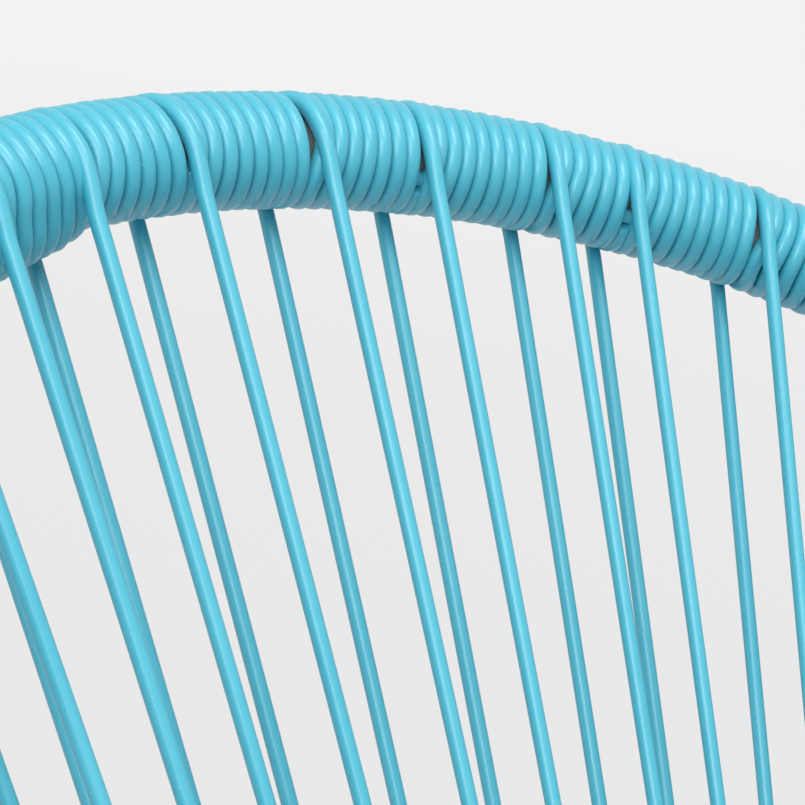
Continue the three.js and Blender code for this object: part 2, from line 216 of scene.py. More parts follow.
rim_rows, rim_sides = 320, 28
rim_distance = np.linspace(0, rim_perimeter, rim_rows, endpoint=False)
centre, along, inward, above = rim_place(rim_distance)
from_butt = (rim_distance - rim_perimeter / 2) / butt_bead_width
rim_swell = (rim_tube_radius + butt_bead * np.exp(-from_butt ** 2))[:, None, None]
turn = round_turn(rim_sides)[None, :, None]
rim_rings = centre[:, None, :] + rim_swell * (
    above[:, None, :] * np.cos(turn) - inward[:, None, :] * np.sin(turn))
rim_piece = skin("rim_bent_tube", [(rim_rings[:, ::-1], True)])
rim_piece.data.materials.append(powder_coat)
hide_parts("rim_tube")
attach(rim_piece, "root")

# The ring in the middle of the seat is 12 mm round rod, rolled to a hoop 180 mm across and butt
# welded. Every loop of cord turns back round it, and the inner ends of the legs are welded to it.
ring_radius = 0.090
ring_rod_radius = 0.006
ring_butt_angle = 4.5
ring_butt_bead = 0.0004
ring_lean = math.radians(14)
ring_back = np.array([0.0, math.cos(ring_lean), math.sin(ring_lean)])
ring_side = np.array([1.0, 0.0, 0.0])
ring_up = np.array([0.0, -math.sin(ring_lean), math.cos(ring_lean)])


def ring_outward(angle):
    """Direction from the ring's middle, by the angle from the back towards the right."""
    angle = np.asarray(angle)[..., None]
    return np.sin(angle) * ring_side + np.cos(angle) * ring_back


ring_rows, ring_sides = 160, 20
ring_angles = np.linspace(0, 2 * math.pi, ring_rows, endpoint=False)
from_butt = (ring_angles - ring_butt_angle) * ring_radius / butt_bead_width
ring_swell = (ring_rod_radius + ring_butt_bead * np.exp(-from_butt ** 2))[:, None, None]
outward = ring_outward(ring_angles)[:, None, :]
turn = round_turn(ring_sides)[None, :, None]
ring_rings = ring_middle + ring_radius * outward + ring_swell * (
    outward * np.cos(turn) + ring_up * np.sin(turn))
ring_piece = skin("ring_rolled_rod", [(ring_rings, True)])
ring_piece.data.materials.append(powder_coat)
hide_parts("ring_rod")
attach(ring_piece, "root")

# Four bent rods, 12 mm thick, carry the rim and the ring: one to each front foot, and at the
# rear a yoke from rim to rim and a strut from ring to ring, side by side in one foot. Their
# ends are welded.
leg_rod_radius = 0.006
leg_bend_reach = 0.042
leg_end_pull = 0.0025
glide_sole = 0.004
glide_clearance = 0.0003
front_foot_side = 0.272
front_foot_ahead = 0.262
rear_foot_back = 0.330
rear_rods_gap = 0.0003
rear_rods_half_spacing = leg_rod_radius + rear_rods_gap / 2
front_glide_radius, rear_glide_radius = 0.015, 0.019
ring_bead = 0.0014
rim_bead = 0.0003
bead_middle = 0.0008
bead_width = 0.0020
rim_weld_angle = {"front": math.radians(119.3), "rear": math.radians(61.6)}
ring_weld_angle = math.radians(50)


def rim_weld(place, side):
    """Centre of the rim where a leg is welded to it, on the side -1 or 1."""
    return rim_centre(np.array(side * rim_weld_angle[place]))


def ring_weld(angle):
    """Centre of the ring's rod where a leg is welded to it."""
    return ring_middle + ring_radius * ring_outward(angle)


def leg_path(start, foot, end):
    """A rod's centre line: straight down to a foot, round a bend that is a quadratic Bezier
    curve, and straight up. The corner is lowered until the bend stands on the sole of the
    glide. Returned with it is how far each point is from the weld at its end, 1 m in the bend."""
    corner = np.array(foot, dtype=float)
    share = np.linspace(0, 1, 25)[:, None]
    for _ in range(4):
        down = corner + leg_bend_reach * unit(start - corner)
        up = corner + leg_bend_reach * unit(end - corner)
        bend = (1 - share) ** 2 * down + 2 * share * (1 - share) * corner + share ** 2 * up
        corner[2] += glide_sole + glide_clearance + leg_rod_radius - bend[:, 2].min()
    # Rows 1.2 mm apart over the weld bead, and further apart beyond it.
    near_weld = np.concatenate([np.arange(leg_end_pull, 0.022, 0.0012), [0.028, 0.04]])
    halves = []
    for tip, turned in ((start, down), (end, up)):
        reach = np.linalg.norm(turned - tip)
        far = np.concatenate([near_weld, np.linspace(0.06, reach, 8)[:-1]])
        halves.append((tip + far[:, None] * unit(turned - tip), far))
    path = np.concatenate([halves[0][0], bend, halves[1][0][::-1]])
    from_weld = np.concatenate([halves[0][1], np.full(len(bend), 1.0), halves[1][1][::-1]])
    return path, from_weld


def leg_piece(name, node, path, from_weld, tube_reach, bead):
    """The rod along its path, swollen to a weld bead where it meets the tube: the bead falls off
    as a bell curve from the tube's wall, with seven and eleven sine ripples round the rod."""
    sides = 22
    first_half = np.arange(len(path)) < len(path) // 2
    reach = np.where(first_half, tube_reach[0], tube_reach[1])
    height = np.where(first_half, bead[0], bead[1])
    swell = height * np.exp(-((from_weld - reach - bead_middle) / bead_width) ** 2)
    plane = unit(np.cross(path[1] - path[0], path[-1] - path[-2]))
    rings = section_rings(path, np.broadcast_to(plane, path.shape),
                          leg_rod_radius, leg_rod_radius, sides)
    turn = round_turn(sides)
    ripple = 1 + 0.28 * np.sin(7 * turn) + 0.12 * np.sin(11 * turn + 1)
    grown = swell[:, None] * ripple[None, :] / leg_rod_radius
    rings = rings + (rings - path[:, None, :]) * grown[:, :, None]
    piece = skin(name, [(rings, False)])
    piece.data.materials.append(powder_coat)
    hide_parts(node)
    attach(piece, "root")


feet = []
rim_reach, ring_reach = rim_tube_radius, ring_rod_radius
for side, word in ((-1, "left"), (1, "right")):
    path, from_weld = leg_path(ring_weld(math.pi - side * ring_weld_angle),
                               [side * front_foot_side, -front_foot_ahead, 0.0],
                               rim_weld("front", side))
    leg_piece(f"front_leg_{word}", f"leg_front_{word}", path, from_weld,
              (ring_reach, rim_reach), (ring_bead, rim_bead))
    feet.append((f"glide_front_{word}", front_glide_radius, [path]))
yoke, yoke_far = leg_path(rim_weld("rear", -1), [0.0, rear_foot_back + rear_rods_half_spacing, 0.0],
                          rim_weld("rear", 1))
leg_piece("rear_yoke", "leg_rear_yoke", yoke, yoke_far,
          (rim_reach, rim_reach), (rim_bead, rim_bead))
strut, strut_far = leg_path(ring_weld(-ring_weld_angle),
                            [0.0, rear_foot_back - rear_rods_half_spacing, 0.0],
                            ring_weld(ring_weld_angle))
leg_piece("rear_strut", "leg_rear_strut", strut, strut_far,
          (ring_reach, ring_reach), (ring_bead, ring_bead))
feet.append(("glide_rear", rear_glide_radius, [yoke, strut]))

# Three glides are moulded in black polypropylene and pushed over the bends: a round puck with a
# softened rim, three shallow grip grooves, and a collar round each rod where it goes in.
foot_round = 0.002
shoulder_round = 0.004
wall_draft = 0.03
wall_draw_in = 0.00059
wall_foot, wall_top = 0.003, 0.0215
glide_top = wall_top + shoulder_round
dome_rise = 0.0005
mould_gate_radius = 0.0008
groove_depth = 0.00045
groove_width = 0.0006
groove_levels = (0.0065, 0.0095, 0.0125)
puck_sides, collar_sides = 48, 28
moulded, tree, output = new_finish("moulded polypropylene, matt black")
place = add_node(tree, "TexCoord").outputs["Object"]
# The mould's spark-eroded skin has grains near 0.4 mm, drawn at 0.7 mm so that it shows.
grain = add_node(tree, "TexNoise", {"Scale": 1 / 0.0007, "Detail": 2.0}, {"Vector": place})
scuffs = add_node(tree, "TexNoise", {"Scale": 1 / 0.012, "Detail": 5.0, "Roughness": 0.7},
                  {"Vector": place})
tone = add_node(tree, "ValToRGB", links={"Fac": scuffs.outputs["Fac"]})
tone.color_ramp.elements[0].position = 0.45
tone.color_ramp.elements[0].color = hex_colour("1b1c1e")
tone.color_ramp.elements[1].position = 0.75
tone.color_ramp.elements[1].color = hex_colour("36383a")
skin_bump = add_node(tree, "Bump", {"Strength": 0.5, "Distance": 0.00008},
                     {"Height": grain.outputs["Fac"]})
black = add_node(tree, "BsdfPrincipled", {"Roughness": 0.58, "IOR": 1.49}, {
    "Base Color": tone.outputs["Color"], "Normal": skin_bump.outputs["Normal"]})
tree.links.new(black.outputs["BSDF"], output.inputs["Surface"])


def puck_rings(middle, radius):
    """A turned profile, radius by height, carried round a vertical axis: flat sole, rounded
    foot, a drafted wall with three grooves, and a domed top."""
    foot_turn = np.radians(np.linspace(-90, 0, 6))
    foot = np.stack([radius - foot_round + foot_round * np.cos(foot_turn),
                     foot_round + foot_round * np.sin(foot_turn)], axis=1)
    rise = np.linspace(wall_foot, wall_top, 38)
    groove = sum(groove_depth * np.exp(-((rise - level) / groove_width) ** 2)
                 for level in groove_levels)
    wall = np.stack([radius - wall_draft * (rise - foot_round) - groove, rise], axis=1)
    top_turn = np.radians(np.linspace(8, 90, 9))
    shoulder = radius - wall_draw_in - shoulder_round
    top = np.stack([shoulder + shoulder_round * np.cos(top_turn),
                    wall_top + shoulder_round * np.sin(top_turn)], axis=1)
    dome = np.stack([np.linspace(shoulder, mould_gate_radius, 6)[1:],
                     glide_top + dome_rise * np.linspace(0, 1, 6)[1:]], axis=1)
    sole = [[mould_gate_radius, 0.0], [radius - 2 * foot_round, 0.0]]
    profile = np.concatenate([sole, foot, wall, top, dome])
    turn = round_turn(puck_sides)
    spread = np.stack([np.cos(turn), np.sin(turn), np.zeros(puck_sides)], axis=1)
    return (np.array([middle[0], middle[1], 0.0])
            + profile[:, 0][:, None, None] * spread[None, ::-1, :]
            + profile[:, 1][:, None, None] * np.array([0.0, 0.0, 1.0]))


def collar_rings(path, middle, radius, upwards):
    """A short sleeve round the rod, from inside the puck to 5 mm past its wall or top, where
    the rod comes out, with a rolled lip."""
    away = np.linalg.norm(path[:, :2] - middle[:2], axis=1)
    steps = np.linalg.norm(np.diff(path, axis=0), axis=1)
    lengths = np.concatenate([[0.0], np.cumsum(steps)])
    order = np.arange(len(path)) if upwards else np.arange(len(path))[::-1]
    picked = order[np.argmin(away[order]):]
    share_out = np.maximum(away[picked] / radius, path[picked, 2] / glide_top)
    reach = np.interp(1.0, share_out, lengths[picked])
    ahead = 1.0 if upwards else -1.0
    past_wall = np.array([-0.008, -0.003, 0.0, 0.002, 0.0035, 0.0044, 0.0049, 0.005])
    lip = np.array([0.0090, 0.0090, 0.0087, 0.0083, 0.0082, 0.0080, 0.0075, 0.0064])
    at = reach + ahead * past_wall
    spine = np.stack([np.interp(at, lengths, path[:, axis]) for axis in range(3)], axis=1)
    side_on = unit(np.cross(spine[-1] - spine[0], np.array([0.0, 0.0, 1.0])))
    return section_rings(spine, np.broadcast_to(side_on, spine.shape), lip, lip, collar_sides)


for node, radius, paths in feet:
    middle = np.mean([path[np.argmin(path[:, 2])] for path in paths], axis=0)
    strips = [(puck_rings(middle, radius), False)]
    for path in paths:
        for upwards in (True, False):
            strips.append((collar_rings(path, middle, radius, upwards), False))
    glide = skin(node.replace("glide", "foot_glide"), strips)
    glide.data.materials.append(moulded)
    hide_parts(node)
    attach(glide, "root")

# The cord is extruded soft vinyl, wound turn against turn round the rim and strung to the ring
# and back after every six to nine turns. Each strand makes two such loops, and then the next
# strand starts. Wound cord is pressed wide by its tension, and a strung length is drawn thinner.
wound_half_width = 0.00246
wound_half_height = 0.0024
strung_radius = 0.00203
cord_clearance = 0.00015
wound_seat = rim_tube_radius + cord_clearance + wound_half_height
hook_seat = ring_rod_radius + cord_clearance + strung_radius
loop_lift = 0.0008
turns_between_loops = [9, 6, 9, 7, 9, 8] * 11
# Left of the middle of the back, two loops were strung a turn or two nearer to it.
turns_between_loops[60] += 1
turns_between_loops[61] += 1
turns_between_loops[62] -= 2
loop_turns = np.cumsum([0] + turns_between_loops)
turn_count = int(loop_turns[-1])
loop_turns = loop_turns[:-1]
loop_count = len(loop_turns)
strand_count = loop_count // 2
# Turn number and millimetres along the rim. In every second span the winding steps over a
# leg's weld.
winding_table = np.array([
    [-102.669, -474.50], [-101.669, -455.33], [82.331, 455.33], [83.331, 474.50],
    [178.435, 944.23], [179.435, 967.81], [330.435, 1717.50], [331.435, 1741.07],
    [425.331, 2210.80]])


def smooth_step(share):
    """0 below 0, 1 above 1, and three squares less two cubes of the share between."""
    share = np.clip(share, 0.0, 1.0)
    return share * share * (3 - 2 * share)


def turn_distance(turn):
    """Distance along the rim by turn number: straight lines through the table, eased where it
    steps over a weld."""
    table_turns, table_places = winding_table.T
    rounds = np.floor((turn - table_turns[0]) / turn_count)
    wrapped = turn - rounds * turn_count
    span = np.searchsorted(table_turns, wrapped, side="right") - 1
    span = np.clip(span, 0, len(table_turns) - 2)
    share = (wrapped - table_turns[span]) / (table_turns[span + 1] - table_turns[span])
    share = np.where(span % 2 == 0, smooth_step(share), share)
    place = table_places[span] + share * (table_places[span + 1] - table_places[span])
    return place / 1000 + rounds * rim_perimeter


turn_pitch = 0.00495
loops_unrolled = np.concatenate([loop_turns - turn_count, loop_turns, loop_turns + turn_count])
starts_strand = np.tile(np.arange(loop_count) % 2 == 0, 3)
splices = loops_unrolled[starts_strand]
# At seven starts of a strand in ten the turns stay apart and show the tube; at the rest they
# close up.
open_start = np.random.default_rng(3).random(strand_count) < 0.7
open_start[[0, 1, strand_count - 1]] = True, True, False
opened_there = np.tile(np.repeat(open_start, 2), 3) & starts_strand
# Shares of a turn's width by which the turns after a loop are drawn back into the place that it
# left, and by which those beside an old strand's end are pressed apart.
drawn_back_plain = np.array([0.0, 0.95, 0.72, 0.50, 0.30, 0.14, 0.0])
drawn_back_splice = np.array([0.23, 0.50, 0.36, 0.24, 0.13, 0.06, 0.0])
pressed_apart = np.array([0.25, 0.18, 0.10, 0.05, 0.0])
# Each turn bows along the tube by up to 4 mm. Left of the middle of the back the turns also
# lean, their upper sides towards the left.
bow = 0.0042
bow_top = math.radians(21.5)
bow_softness = 0.2
lean_turns = np.array([-60.0, -40.0, -14.0, -8.0, -3.0, 3.0, 9.0])
leans = np.array([0.0, 0.0018, 0.0018, 0.0004, -0.0006, -0.0006, 0.0])


def turn_near_middle(turn):
    """Turn number counted from the middle of the back, below 0 on the left of it."""
    return np.mod(turn + 60, turn_count) - 60


def drawn_along(turn):
    """How far a turn lies from its even place: bowed along the tube between its four quarters,
    drawn back on the sitter's side after a loop, pressed apart on the underside where an old
    strand's end goes in, and a little uneven by hand. Smooth steps over degrees round the tube,
    0 on the sitter's side, begin and end each of these."""
    bowed = (math.hypot(math.cos(bow_top), bow_softness)
             - np.hypot(np.cos(2 * math.pi * turn - bow_top), bow_softness))
    last = np.searchsorted(loops_unrolled, turn + 0.5, side="right") - 1
    after = np.clip(np.floor(turn - loops_unrolled[last] + 0.5).astype(int), 0, 6)
    angle = (np.mod(turn + 0.5, 1.0) - 0.5) * 360
    plain = (drawn_back_plain[after] * smooth_step((angle + 10) / 84)
             * (1 - smooth_step((angle - 60) / 120)))
    opened = np.where(after == 1, smooth_step((angle + 6) / 76), smooth_step((angle - 12) / 58))
    opened = np.where(after == 0, smooth_step((angle - 15) / 20), opened)
    spliced = drawn_back_splice[after] * opened * (1 - smooth_step((angle - 80) / 100))
    back = np.where(opened_there[last], spliced, plain)
    gone = np.searchsorted(splices, turn, side="right") - 1
    to_come = np.minimum(gone + 1, len(splices) - 1)
    since = np.clip(np.floor(turn - splices[gone]).astype(int), 0, 4)
    until = np.clip(-np.floor(turn - splices[to_come]).astype(int) - 1, 0, 4)
    under = np.clip(np.abs(np.mod(turn, 1.0) * 360 - 190) / 60, 0, 1)
    apart = (pressed_apart[since] - pressed_apart[until]) * (1 - smooth_step(under))
    by_hand = (0.018 * np.sin(2.33 * turn + 1) + 0.014 * np.sin(1.07 * turn + 2)
               + 0.01 * np.sin(3.9 * turn))
    leant = np.interp(turn_near_middle(turn), lean_turns, leans) * np.sin(2 * math.pi * turn)
    return bow * bowed + leant + turn_pitch * (apart - back + by_hand)


# A spare end of cord was left under the turns, along the underside of the tube, left of the
# middle of the back. By turn number, how far the cord rises over it.
tuck_turns = np.array([-38.0, -35.0, -30.4, -25.2, -24.5, -24.1])
tuck_rises = np.array([0.0, 0.0068, 0.0068, 0.0031, 0.0015, 0.0])
tuck_angle = math.radians(122)


def over_tuck(turn):
    """Rise of the turns over the spare end: straight lines through a table along the tube, and
    a smooth step at its two sides, centred on its angle round the tube."""
    lengthways = np.interp(turn_near_middle(turn), tuck_turns, tuck_rises)
    from_tuck = np.abs(np.mod(turn, 1.0) * 360 - math.degrees(tuck_angle))
    return lengthways * smooth_step((75 - from_tuck) / 60)


def wound(turn, rise, shift):
    """Points of the winding and the way out from the tube there: the part turn past a whole one
    is the angle round the tube from the sitter's side."""
    centre, along, inward, above = rim_place(turn_distance(turn) + drawn_along(turn) + shift)
    angle = 2 * math.pi * turn[:, None]
    out = above * np.cos(angle) + inward * np.sin(angle)
    uneven = 0.00006 * np.sin(1.7 * turn + 0.5)
    return centre + (wound_seat + rise + uneven + over_tuck(turn))[:, None] * out, out


# The hooks of the cord lie side by side on the ring, in four runs between the welds of the legs.
hook_half_width = 0.0022
hook_from_weld = 0.0028
hook_row_radius = ring_radius - 0.0085
hook_clear = (ring_rod_radius + hook_half_width + hook_from_weld) / hook_row_radius
ring_welds = (-ring_weld_angle, ring_weld_angle, math.pi - ring_weld_angle,
              math.pi + ring_weld_angle, 2 * math.pi - ring_weld_angle)
hook_angles = np.concatenate([
    np.linspace(start + hook_clear, end - hook_clear, hooks)
    for start, end, hooks in zip(ring_welds, ring_welds[1:], (18, 15, 18, 15))])


def curve_join(start, start_way, end, end_way, count):
    """Points between two ends on a cubic Hermite curve, whose end slopes are as long as the
    gap."""
    share = np.linspace(0, 1, count + 2)[1:-1, None]
    gap = np.linalg.norm(end - start)
    return ((2 * share ** 3 - 3 * share ** 2 + 1) * start
            + (share ** 3 - 2 * share ** 2 + share) * gap * start_way
            + (3 * share ** 2 - 2 * share ** 3) * end
            + (share ** 3 - share ** 2) * gap * end_way)


# Strung by hand, each length leaves the rim a little off its even place. By loop, beside the
# middle of the back: millimetres along the rim for the length to the ring and for the one back,
# and millimetres along the ring. The others are drawn from a seeded spread.
by_hand = np.random.default_rng(7)
off_rim = by_hand.normal(0, 0.45, (loop_count, 2)) / 1000
off_ring = by_hand.normal(0, 0.25, loop_count) / 1000
near_the_middle = {
    61: (2.0, 1.0, -0.8), 62: (0.2, -3.5, -2.0), 63: (-2.5, -1.4, -2.6), 64: (1.6, 1.5, 1.0),
    65: (3.2, 1.5, 1.9), 0: (0.4, 2.0, 1.0), 1: (0.4, 2.1, 4.9), 2: (-1.3, 1.4, 3.2),
    3: (0.7, 0.7, 1.2)}
for loop, places in near_the_middle.items():
    off_rim[loop] = np.array(places[:2]) / 1000
    off_ring[loop] = places[2] / 1000
# The share of a hand's offset that carries on into the winding, the part of a turn at which the
# cord leaves or joins it, and how far from the rim and the hook a strung length runs straight.
carried_into_winding = 0.8
leave = 0.035
off_rim_reach, onto_rim_reach, hook_reach = 0.017, 0.011, 0.006
# A strand's first end starts this part of a turn past its loop. Over the next part it is pushed
# under, and pressed narrow and flat by these shares.
open_start_turn, closed_start_turn = 0.19, 0.11
pushed_turn = 0.14
pushed_under = 0.0005
pressed_narrow, pressed_flat = 0.22, 0.15
# Its last end sinks in flat under the next strand's first turns. Cut ends are chamfered.
tucked_turn = 0.09
tucked_rises = np.array([0.0014, 0.0009, 0.0004, -0.0002, -0.0006])
tucked_half_width = 0.0013
tucked_half_height = 0.0014
cut_chamfer = 0.00025
cut_size = 0.86
steps_per_turn = 36
cord_sides = 12


def wound_stretch(start, end, lift_start, lift_end, shift_start, shift_end):
    """Winding between two turn numbers in steps of a 36th of a turn; the cord lifts and moves
    over in the last quarter turn before a loop and the first after it."""
    turn = np.linspace(start, end, int(round((end - start) * steps_per_turn)) + 1)
    near_start = smooth_step(1 - (turn - start) / 0.25)
    near_end = smooth_step(1 - (end - turn) / 0.25)
    points, out = wound(turn, lift_start * near_start + lift_end * near_end,
                        shift_start * near_start + shift_end * near_end)
    narrowed = 0.10 * (near_start * (lift_start > 0) + near_end * (lift_end > 0))
    return points, out, wound_half_width * (1 - narrowed), np.full(len(turn), wound_half_height)


def strand_strip(strand):
    """One strand's rings: winding, strung length, hook round the ring, strung length back, and
    so on twice."""
    first = 2 * strand
    points, out, width, height = [], [], [], []

    def lay(new_points, new_out, new_width, new_height):
        points.append(new_points)
        out.append(np.broadcast_to(new_out, new_points.shape))
        width.append(np.broadcast_to(new_width, len(new_points)))
        height.append(np.broadcast_to(new_height, len(new_points)))

    turn = loop_turns[first] + (open_start_turn if open_start[strand] else closed_start_turn)
    lift, shift = 0.0, 0.0
    for loop in (first + 1, first + 2):
        hook = loop % loop_count
        loop_turn = loop_turns[hook] + (turn_count if loop >= loop_count else 0)
        shift_to, shift_back = off_rim[hook]
        laid, laid_out, laid_width, laid_height = wound_stretch(
            turn, loop_turn - leave, lift, loop_lift, shift, shift_to * carried_into_winding)
        if loop == first + 1:
            sunk = 1 - smooth_step((np.arange(len(laid)) / steps_per_turn) / pushed_turn)
            laid = laid - laid_out * (pushed_under * sunk)[:, None]
            laid_width = laid_width * (1 - pressed_narrow * sunk)
            laid_height = laid_height * (1 - pressed_flat * sunk)
        lay(laid, laid_out, laid_width, laid_height)
        wound_end, wound_way = laid[-1], unit(laid[-1] - laid[-2])

        angle = hook_angles[(hook + 8) % loop_count] + off_ring[hook] / ring_radius
        rod = ring_middle + ring_radius * ring_outward(angle)
        along_ring = np.cos(angle) * ring_side - np.sin(angle) * ring_back
        seats = turn_distance(np.array([loop_turn, loop_turn + 0.5])) + off_rim[hook]
        centres, _, _, aboves = rim_place(seats)
        pull = rod - centres[0]
        pull = unit(pull - np.dot(pull, along_ring) * along_ring)
        over = np.cross(pull, along_ring)
        over = over * np.sign(over[2])
        leave_rim = centres[0] + (wound_seat + loop_lift) * aboves[0]
        back_seat = wound_seat + loop_lift + over_tuck(loop_turn + 0.5)
        reach_rim = centres[1] - back_seat * aboves[1]
        hook_turn = np.radians(np.linspace(22, 158, 13))[:, None]
        hook_out = over * np.cos(hook_turn) + pull * np.sin(hook_turn)
        hook_points = rod + hook_seat * hook_out
        down_end, up_start = rod + hook_seat * over, rod - hook_seat * over
        way_down, way_up = unit(down_end - leave_rim), unit(reach_rim - up_start)
        down_length = np.linalg.norm(down_end - leave_rim)
        up_length = np.linalg.norm(reach_rim - up_start)
        hook_in_way = unit(hook_points[1] - hook_points[0])
        hook_out_way = unit(hook_points[-1] - hook_points[-2])

        down_at = np.linspace(off_rim_reach, down_length - hook_reach, 12)
        up_at = np.linspace(hook_reach, up_length - onto_rim_reach, 12)
        straight = leave_rim + way_down * down_at[:, None]
        back = up_start + way_up * up_at[:, None]
        thinning = np.linspace(1, 0, 9)[1:-1]
        thickening = thinning[::-1]
        lay(curve_join(wound_end, wound_way, straight[0], way_down, 7), aboves[0],
            strung_radius + (laid_width[-1] - strung_radius) * thinning,
            strung_radius + (wound_half_height - strung_radius) * thinning)
        lay(straight, over, strung_radius, strung_radius)
        lay(curve_join(straight[-1], way_down, hook_points[0], hook_in_way, 2),
            over, strung_radius, strung_radius)
        lay(hook_points, hook_out, strung_radius, strung_radius)
        lay(curve_join(hook_points[-1], hook_out_way, back[0], way_up, 2),
            -over, strung_radius, strung_radius)
        lay(back, -over, strung_radius, strung_radius)

        turn = loop_turn + 0.5 + leave
        lift, shift = loop_lift, shift_back * carried_into_winding
        if loop == first + 2:
            tucked, tucked_out = wound(np.linspace(turn, turn + tucked_turn, 5),
                                       tucked_rises, shift)
            lay(curve_join(back[-1], way_up, tucked[0], unit(tucked[1] - tucked[0]), 7),
                -aboves[1],
                strung_radius + (tucked_half_width - strung_radius) * thickening,
                strung_radius)
            lay(tucked, tucked_out, tucked_half_width,
                np.linspace(strung_radius, tucked_half_height, 5))
        else:
            coming, _ = wound(np.array([turn, turn + 0.01]), np.full(2, loop_lift), shift)
            lay(curve_join(back[-1], way_up, coming[0], unit(coming[1] - coming[0]), 7),
                -aboves[1],
                strung_radius + (0.9 * wound_half_width - strung_radius) * thickening,
                strung_radius + (wound_half_height - strung_radius) * thickening)
    path, out = np.concatenate(points), np.concatenate(out)
    width, height = np.concatenate(width), np.concatenate(height)
    first_cut = path[0] + cut_chamfer * unit(path[0] - path[1])
    last_cut = path[-1] + cut_chamfer * unit(path[-1] - path[-2])
    path = np.concatenate([[first_cut], path, [last_cut]])
    out = np.concatenate([out[:1], out, out[-1:]])
    width = np.concatenate([[cut_size * width[0]], width, [cut_size * width[-1]]])
    height = np.concatenate([[cut_size * height[0]], height, [cut_size * height[-1]]])
    return section_rings(path, out, width, height, cord_sides), False


# Ends that lie along the tube: the tail of an old strand, and the spare end.
tail_past_loop = 0.15
tail_drawn_back = 0.235
tail_half_length = 0.0080
tail_angle = math.radians(54)
spare_half_height = 0.0019
under_turns_gap = 0.0001


def along_tube(distance, angle, half_height, size):
    """A flattened length of cord on the tube at an angle round it from the sitter's side: half
    its height and a small gap out from the tube's wall, its width and height times size."""
    centre, along, inward, above = rim_place(distance)
    out = above * math.cos(angle) + inward * math.sin(angle)
    path = centre + (rim_tube_radius + under_turns_gap + half_height) * out
    return section_rings(path, out, strung_radius * size, half_height * size, cord_sides), False


def tail_strip(strand):
    """The tucked end of the strand before: a short length along the tube, pressed flat between
    it and the turns."""
    past_loop = turn_distance(np.array([loop_turns[2 * strand] + tail_past_loop]))[0]
    distance = (past_loop - tail_drawn_back * turn_pitch
                + np.linspace(-tail_half_length, tail_half_length, 9))
    size = np.array([0.82, 1, 1, 1, 1, 1, 1, 1, 0.82])
    return along_tube(distance, tail_angle, tucked_half_height, size)


def tuck_strip():
    """The spare end under the turns left of the middle of the back, straight along the tube's
    underside."""
    distance = np.linspace(*turn_distance(tuck_turns[1:3]), 40)
    return along_tube(distance, tuck_angle, spare_half_height, 1.0)


# Soft vinyl comes from the die smooth and semi-gloss, with faint lines along it. It is dyed
# through, varies slightly over hand widths, and dust clings to it in specks.
vinyl, tree, output = new_finish("extruded soft vinyl cord, turquoise")
place = add_node(tree, "TexCoord").outputs["Object"]
lie = add_node(tree, "UVMap", uv_map="lie").outputs["UV"]
dye = add_node(tree, "TexNoise", {"Scale": 1 / 0.07, "Detail": 3.0}, {"Vector": place})
tone = add_node(tree, "ValToRGB", links={"Fac": dye.outputs["Fac"]})
tone.color_ramp.elements[0].position = 0.30
tone.color_ramp.elements[0].color = hex_colour("3cadc3")
tone.color_ramp.elements[1].position = 0.70
tone.color_ramp.elements[1].color = hex_colour("46b4c9")
specks = add_node(tree, "TexNoise", {"Scale": 1 / 0.0014, "Detail": 2.0}, {"Vector": place})
speck = add_node(tree, "MapRange",
                 {"From Min": 0.74, "From Max": 0.80, "To Min": 0.0, "To Max": 0.35},
                 {"Value": specks.outputs["Fac"]})
dusted = add_node(tree, "Mix", {7: hex_colour("bfe0e4")},
                  {0: speck.outputs["Result"], 6: tone.outputs["Color"]}, data_type="RGBA")
# The die's lines lie about 0.6 mm apart round the cord, and each runs for some 100 mm.
die_lines = add_node(tree, "Mapping", {"Scale": (24.0, 10.0, 1.0)}, {"Vector": lie})
lines = add_node(tree, "TexNoise", {"Scale": 1.0, "Detail": 1.0},
                 {"Vector": die_lines.outputs["Vector"]})
waves = add_node(tree, "TexNoise", {"Scale": 1 / 0.009, "Detail": 1.0}, {"Vector": place})
line_bump = add_node(tree, "Bump", {"Strength": 0.25, "Distance": 0.00004},
                     {"Height": lines.outputs["Fac"]})
wave_bump = add_node(tree, "Bump", {"Strength": 0.3, "Distance": 0.0003},
                     {"Height": waves.outputs["Fac"], "Normal": line_bump.outputs["Normal"]})
gloss = add_node(tree, "MapRange",
                 {"From Min": 0.3, "From Max": 0.7, "To Min": 0.56, "To Max": 0.64},
                 {"Value": waves.outputs["Fac"]})
surface = add_node(
    tree, "BsdfPrincipled",
    {"IOR": 1.55, "Coat Weight": 0.7, "Coat Roughness": 0.27, "Coat IOR": 1.5},
    {"Base Color": dusted.outputs[2], "Roughness": gloss.outputs["Result"],
     "Normal": wave_bump.outputs["Normal"]})
tree.links.new(surface.outputs["BSDF"], output.inputs["Surface"])

for strand in range(strand_count):
    strips = [strand_strip(strand)]
    if open_start[strand]:
        strips.append(tail_strip(strand))
    if strand == strand_count - 2:
        strips.append(tuck_strip())
    cord_piece = skin(f"wound_cord_{strand + 1:02d}", strips)
    cord_piece.data.materials.append(vinyl)
    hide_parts(f"cord_strand_{strand + 1:02d}")
    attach(cord_piece, "root")

# The set is a pale floor that runs out to the horizon under soft studio light: a broad lamp over
# and a little before the chair, a smaller one beside the camera, and an even pale room all round.
floor_reach = 60
near_floor, far_floor = 2.0, 8.0


def rays_that_see_the_set(tree):
    """1 for a ray from the camera, off a gloss or through a clear thing, and 0 for light that
    falls on the chair."""
    rays = add_node(tree, "LightPath").outputs
    seen = add_node(tree, "Math", links={0: rays["Is Camera Ray"], 1: rays["Is Glossy Ray"]},
                    operation="ADD", use_clamp=True)
    seen = add_node(tree, "Math", links={0: seen.outputs[0], 1: rays["Is Transmission Ray"]},
                    operation="ADD", use_clamp=True)
    return seen.outputs[0]


